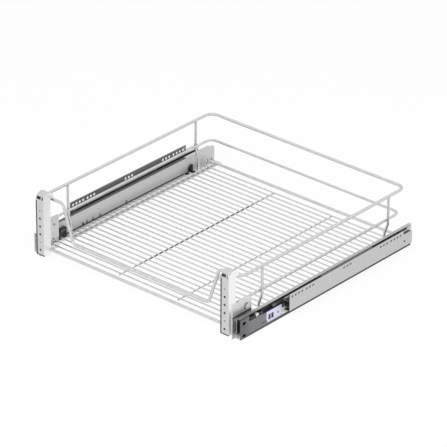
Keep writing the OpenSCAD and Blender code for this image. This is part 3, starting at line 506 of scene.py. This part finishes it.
def member_bands(colour, web_colour):
    """The drawer members: insides, webs, tops and shelves, and the line and holes of their inner faces. Most
    bands here are painted shade, the line is a painted shadow, the left top's dark is a painted reflection,
    and the pale front ends are painted light.
    """
    low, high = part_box("drawer_member_right")
    sheet, shelf_width = 0.0012, 0.0218
    inner_face, web_face = low.x + shelf_width, high.x
    inner_skin = (inner_face - 0.0006, inner_face + 0.0004)
    web_skin = (web_face - sheet / 2, FAR)
    top_skin = (high.z - 0.0001, FAR)
    hollow = (inner_face + sheet / 2, web_face - sheet / 2)
    left_top, left_section = (-FAR, -inner_face - 0.0004), (-FAR, -inner_face - 0.0001)
    left, right = (-FAR, 0.0), (0.0, FAR)
    front_tip, front_shade, front_top = low.y + 0.011, low.y + 0.022, low.y + 0.05
    rear_tip, top_shade_end, foot_line_end = high.y - 0.014, 0.182, 0.172
    foot, skirt_top, foot_line = (-FAR, 0.0125), 0.0071, (0.0118, 0.0158)
    wide_soft, line_soft = 0.012, 0.004
    bands = [
        # Painted shade inside the drawer members' channels
        (PAINTED_DEEP_SHADE, {"out": hollow, "y": (-FAR, rear_tip)}),
        # Painted light at the front end of the channel's bottom
        (PAINTED_LIGHT_WHITE, {"x": (inner_face + sheet, web_face - sheet / 2), "y": (-FAR, front_tip), "z": foot}),
        (web_colour, {"x": web_skin}),
        # Painted shade on the web's skirt, and softly near the web's front end
        (shade(web_colour, 0.35), {"out": web_skin, "z": (-FAR, skirt_top)}),
        (shade(web_colour, 0.62), {"x": web_skin, "y": (-FAR, front_shade, wide_soft)}),
        # A painted shadow line along the inner faces, just above the shelves
        (shade(colour, 0.14), {"out": inner_skin, "y": (-FAR, foot_line_end, line_soft), "z": foot_line}),
        (colour, {"x": left, "y": (top_shade_end, FAR), "z": top_skin}),
        # Painted shade on the right drawer member's top, darkest at the front
        (shade(colour, 0.72), {"x": right, "z": top_skin}),
        (shade(colour, 0.3), {"x": right, "y": (-FAR, front_top, wide_soft), "z": top_skin}),
        # Painted shade along the top of the drawer members' webs
        (PAINTED_DEEP_SHADE, {"x": (web_face - sheet - 0.0002, FAR), "z": (high.z - 0.0012, FAR)}),
        (PAINTED_TOP_REFLECTION, {"x": left_top, "y": (-FAR, top_shade_end), "z": (high.z - 0.0013, FAR)}),
        # Painted light on the left drawer member's front end
        (PAINTED_LIGHT_WHITE, {"x": left_section, "y": (-FAR, front_tip)}),
        (colour, {"out": (-FAR, inner_face - 0.0002), "z": foot}),
    ]
    # Painted shade round the holes in the inner faces: height, radius, and places along Y
    for z, radius, places in ((0.0179, 0.0031, (-0.1261, -0.1146, -0.0973, -0.077, 0.0006)),
                              (0.0166, 0.0036, (0.2432,)),
                              (0.0166, 0.0028, (0.2571,))):
        bands += [(PAINTED_DEEP_SHADE, {"out": inner_skin, "disc": (y, z, radius)}) for y in places]
    return bands


def profile_bands():
    """Painted shade on the cabinet profiles: inner sides and flanges, and the right one's front end and top
    edge; painted light on the left one's flange at its rear end.
    """
    low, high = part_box("cabinet_profile_right")
    sheet, flange_drop = 0.0015, 0.0115
    outer_face, flange_top = high.x, high.z - flange_drop
    flange = (flange_top - 0.0016, FAR)
    gap = (low.x + 0.0025, outer_face - sheet - 0.0001)
    rear_flange = 0.2085
    return (
        (PAINTED_PROFILE_SHADE, {"out": (-FAR, outer_face - sheet / 2)}),
        # Painted shade on the right profile's front end and along its top edge
        (PAINTED_DEEP_SHADE, {"x": (0.0, FAR), "y": (-FAR, low.y + 0.0006)}),
        (PAINTED_DEEP_SHADE, {"x": (low.x, FAR), "z": (high.z - 0.0004, FAR)}),
        (PAINTED_GAP_SHADE, {"out": gap, "z": (-FAR, flange_top + 0.0001)}),
        (PAINTED_FLANGE_SHADE, {"out": (-FAR, low.x + 0.0022), "z": flange}),
        (PAINTED_FLANGE_LIGHT, {"x": (-outer_face + sheet / 2, 0.0), "y": (rear_flange, FAR), "z": flange}),
    )


def housing_bands():
    """Painted shade on the soft-close housings: the grey front with its dark top, the windows, and the notch
    at the tip; and a painted light strip beside the notch.
    """
    low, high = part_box("damper_housing_right")
    body_front = low.y + 0.033
    front_end = body_front + 0.015
    notch_end, gap_start, gap_end = low.y + 0.017, low.y + 0.0175, low.y + 0.025
    recess, notch = high.x - 0.0005, (high.z - 0.0049, FAR)
    return (
        (PAINTED_HOUSING_SHADE, {"y": (-FAR, front_end)}),
        # Painted shade on the housings' top near the front
        (PAINTED_DEEP_SHADE, {"y": (gap_end, front_end), "z": (high.z - 0.008, FAR)}),
        (PAINTED_WINDOW_SHADE, {"out": (-FAR, recess)}),
        (PAINTED_NOTCH_SHADE, {"y": (-FAR, notch_end), "z": notch}),
        (PAINTED_STRIP_LIGHT, {"y": (gap_start, gap_end), "z": notch}),
    )


def lever_bands():
    """The release levers: painted light on their paler side, and a painted glint on their step."""
    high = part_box("release_lever_right")[1]
    side = (high.y - 0.0175, high.y - 0.011)
    glint, glint_heights = (high.y - 0.016, high.y - 0.002), (high.z - 0.0055, high.z - 0.0043)
    return (
        (PAINTED_LEVER_LIGHT, {"y": side, "z": (-FAR, high.z - 0.006)}),
        (LEVER_GLINT, {"y": glint, "z": glint_heights}),
    )


# ---- Pieces ----

class BASKET_OT_wires(bpy.types.Operator):
    """Finish the rails, uprights and floor wires"""
    bl_idname = "basket.wires"
    bl_label = "Wires"

    def execute(self, context):
        finishes = context.scene.basket_finishes
        colour, roughness = finishes.wire_colour, finishes.wire_roughness
        dress(plated_wire("plated_wire", colour, roughness, bands=wire_bands(colour)), *WIRES)
        shaded = plated_wire("shaded_wire", colour, roughness, bands=cross_wire_bands(colour))
        dress(shaded, "cross_wire_left")
        return {"FINISHED"}


class BASKET_OT_front_brackets(bpy.types.Operator):
    """Finish the front brackets and side plates with their fixings"""
    bl_idname = "basket.front_brackets"
    bl_label = "Front brackets"

    def execute(self, context):
        finishes = context.scene.basket_finishes
        sheet, plate = finishes.sheet_colour, finishes.plate_colour
        for side in SIDES:
            zinc = bright_sheet(f"bracket_zinc_{side}", sheet, "Z", bands=bracket_bands(side, sheet))
            rounded(zinc, finishes, f"front_bracket_{side}")
        dress(bright_sheet("spacer_zinc", sheet, "X"), *pair("plate_spacers"))
        zinc = bright_sheet("plate_zinc", plate, "Z", bands=plate_bands(plate))
        rounded(zinc, finishes, *pair("side_plate"))
        zinc = bright_sheet("screw_zinc", plate, "X", roughness=0.3, bands=screw_bands(sheet))
        rounded(zinc, finishes, *pair("clamp_screw"))
        dress(bright_sheet("turned_zinc", plate, "X", roughness=0.3), *pair("adjuster_wheel"))
        dress(bright_sheet("blackened_screw", BLACKENED, "X", roughness=0.4), *pair("plate_screws"))
        return {"FINISHED"}


class BASKET_OT_drawer_members(bpy.types.Operator):
    """Finish the drawer members of the runners"""
    bl_idname = "basket.drawer_members"
    bl_label = "Drawer members"

    def execute(self, context):
        finishes = context.scene.basket_finishes
        colour = finishes.member_colour
        zinc = bright_sheet("member_zinc", colour, "Y", roughness=0.4, metallic=0.35,
                            bands=member_bands(colour, finishes.web_colour))
        dress(zinc, *pair("drawer_member"))
        return {"FINISHED"}


class BASKET_OT_cabinet_profiles(bpy.types.Operator):
    """Finish what is fixed to the cabinet walls"""
    bl_idname = "basket.cabinet_profiles"
    bl_label = "Cabinet profiles"

    def execute(self, context):
        colour = context.scene.basket_finishes.profile_colour
        dress(bright_sheet("profile_zinc", colour, "Y", bands=profile_bands()), *pair("cabinet_profile"))
        dress(bright_sheet("pin_zinc", colour, "X"), *pair("catch_pin"))
        dress(moulded_plastic("stop_rubber", RUBBER, roughness=0.7), *pair("rear_stop"))
        return {"FINISHED"}


class BASKET_OT_ball_runners(bpy.types.Operator):
    """Finish the middle members, cages and balls"""
    bl_idname = "basket.ball_runners"
    bl_label = "Ball runners"

    def execute(self, context):
        # Painted shade: the middle members take the drawer members' colour darkened
        painted_middle_shade = shade(context.scene.basket_finishes.member_colour, 0.3)
        dress(bright_sheet("middle_zinc", painted_middle_shade, "Y"), *pair("middle_member"))
        dress(moulded_plastic("cage_plastic", CAGE, roughness=0.5), *pair("outer_cage", "inner_cage"))
        dress(plated_wire("polished_ball", BALL, roughness=0.12), *pair("outer_balls", "inner_balls"))
        return {"FINISHED"}


class BASKET_OT_soft_close(bpy.types.Operator):
    """Finish the soft-close units"""
    bl_idname = "basket.soft_close"
    bl_label = "Soft-close units"

    def execute(self, context):
        finishes = context.scene.basket_finishes
        housing = moulded_plastic("housing_plastic", finishes.soft_close_colour, roughness=0.35,
                                  bands=housing_bands())
        rounded(housing, finishes, *pair("damper_housing"))
        rounded(moulded_plastic("catch_plastic", finishes.catch_colour), finishes, *pair("catch"))
        dress(plated_wire("turned_steel", TURNED_STEEL, roughness=0.25),
              *pair("damper_cylinder", "piston_rod", "pull_spring", "lever_pin"))
        return {"FINISHED"}


class BASKET_OT_black_parts(bpy.types.Operator):
    """Finish the release levers and wire clips"""
    bl_idname = "basket.black_parts"
    bl_label = "Levers and clips"

    def execute(self, context):
        finishes = context.scene.basket_finishes
        black = finishes.black_colour
        rounded(moulded_plastic("lever_plastic", black, roughness=0.4, bands=lever_bands()), finishes,
                *pair("release_lever"))
        rounded(moulded_plastic("clip_plastic", black, roughness=0.4), finishes, *pair("wire_clip"))
        return {"FINISHED"}


# ---- Stage ----

def white_for_eyes(tree, share):
    """A share for camera, glossy and transmission rays, and nothing for the light itself."""
    path = tree.nodes.new("ShaderNodeLightPath")
    total = path.outputs["Is Camera Ray"]
    for ray in ("Is Glossy Ray", "Is Transmission Ray"):
        add = tree.nodes.new("ShaderNodeMath")
        add.operation = "ADD"
        add.use_clamp = True
        tree.links.new(total, add.inputs[0])
        tree.links.new(path.outputs[ray], add.inputs[1])
        total = add.outputs[0]
    scaled = tree.nodes.new("ShaderNodeMath")
    scaled.operation = "MULTIPLY"
    scaled.inputs[1].default_value = share
    tree.links.new(total, scaled.inputs[0])
    return scaled.outputs[0]


def floor_material(white_share):
    """A pale floor that the eye sees almost white, with a faint shadow."""
    material, shader = new_material("pale_floor", FLOOR, metallic=0.0, roughness=0.9)
    tree = material.node_tree
    glow = tree.nodes.new("ShaderNodeEmission")
    mix = tree.nodes.new("ShaderNodeMixShader")
    tree.links.new(white_for_eyes(tree, white_share), mix.inputs["Fac"])
    tree.links.new(shader.outputs["BSDF"], mix.inputs[1])
    tree.links.new(glow.outputs["Emission"], mix.inputs[2])
    tree.links.new(mix.outputs["Shader"], tree.nodes["Material Output"].inputs["Surface"])
    return material


def area_lamp(name, place, target, size, power):
    """A square lamp that looks at the target, and shows in no reflection."""
    data = bpy.data.lights.new(name, "AREA")
    data.energy = power
    data.size = size
    lamp = bpy.data.objects.new(name, data)
    lamp.location = place
    lamp.rotation_euler = (Vector(target) - Vector(place)).to_track_quat("-Z", "Y").to_euler()
    lamp.visible_glossy = False
    bpy.context.scene.collection.objects.link(lamp)


class BASKET_OT_stage(bpy.types.Operator):
    """Set the floor, the lamp, the world and the camera"""
    bl_idname = "basket.stage"
    bl_label = "Stage"

    def execute(self, context):
        scene = context.scene
        stage = scene.basket_stage
        low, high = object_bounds()
        centre = (low + high) / 2

        mesh = bpy.data.meshes.new("floor")
        sheet = bmesh.new()
        bmesh.ops.create_grid(sheet, x_segments=1, y_segments=1, size=stage.floor_size / 2,
                              matrix=Matrix.Translation((0.0, 0.0, low.z)))
        sheet.to_mesh(mesh)
        sheet.free()
        floor = bpy.data.objects.new("floor", mesh)
        scene.collection.objects.link(floor)
        mesh.materials.append(floor_material(stage.floor_white))
        floor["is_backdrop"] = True

        world = bpy.data.worlds.new("studio")
        world.use_nodes = True
        scene.world = world
        tree = world.node_tree
        room = tree.nodes["Background"]
        room.inputs["Color"].default_value = (1.0, 1.0, 1.0, 1.0)
        strength = tree.nodes.new("ShaderNodeMath")
        strength.operation = "ADD"
        strength.inputs[1].default_value = stage.world_light
        tree.links.new(white_for_eyes(tree, 1.0 - stage.world_light), strength.inputs[0])
        tree.links.new(strength.outputs[0], room.inputs["Strength"])

        area_lamp("key_lamp", place=(1.3, -1.7, 2.4), target=centre, size=2.0, power=stage.key_light)

        camera_data = bpy.data.cameras.new("camera")
        camera_data.sensor_width = 36.0
        camera_data.lens = stage.lens
        camera_data.clip_end = 60.0
        camera = bpy.data.objects.new("camera", camera_data)
        scene.collection.objects.link(camera)
        turn, rise = stage.azimuth, stage.elevation
        back = Vector((math.sin(turn) * math.cos(rise), -math.cos(turn) * math.cos(rise), math.sin(rise)))
        level = Vector((math.cos(turn), math.sin(turn), 0.0))
        upright = back.cross(level)
        right = math.cos(stage.roll) * level + math.sin(stage.roll) * upright
        up = back.cross(right)
        camera.matrix_world = Matrix((
            (right.x, up.x, back.x, stage.camera_place[0]),
            (right.y, up.y, back.y, stage.camera_place[1]),
            (right.z, up.z, back.z, stage.camera_place[2]),
            (0.0, 0.0, 0.0, 1.0),
        ))
        scene.camera = camera
        scene.view_settings.view_transform = "Standard"
        return {"FINISHED"}


class BASKET_PT_panel(bpy.types.Panel):
    """Lists the pieces and their settings"""
    bl_idname = "BASKET_PT_panel"
    bl_label = "Pull-out Basket"
    bl_space_type = "VIEW_3D"
    bl_region_type = "UI"
    bl_category = "Basket"

    def draw(self, context):
        layout = self.layout
        for settings in (context.scene.basket_finishes, context.scene.basket_stage):
            box = layout.box()
            for name in settings.__annotations__:
                box.prop(settings, name)
        for piece in PIECES:
            layout.operator(piece.bl_idname)


PIECES = (
    BASKET_OT_wires, BASKET_OT_front_brackets, BASKET_OT_drawer_members, BASKET_OT_cabinet_profiles,
    BASKET_OT_ball_runners, BASKET_OT_soft_close, BASKET_OT_black_parts, BASKET_OT_stage,
)
CLASSES = (BasketFinishes, BasketStage) + PIECES + (BASKET_PT_panel,)


def register():
    for item in CLASSES:
        bpy.utils.register_class(item)
    bpy.types.Scene.basket_finishes = PointerProperty(type=BasketFinishes)
    bpy.types.Scene.basket_stage = PointerProperty(type=BasketStage)


def unregister():
    del bpy.types.Scene.basket_stage
    del bpy.types.Scene.basket_finishes
    for item in reversed(CLASSES):
        bpy.utils.unregister_class(item)


def main():
    register()
    bpy.ops.basket.wires()
    bpy.ops.basket.front_brackets()
    bpy.ops.basket.drawer_members()
    bpy.ops.basket.cabinet_profiles()
    bpy.ops.basket.ball_runners()
    bpy.ops.basket.soft_close()
    bpy.ops.basket.black_parts()
    bpy.ops.basket.stage()


if __name__ == "__main__":
    main()
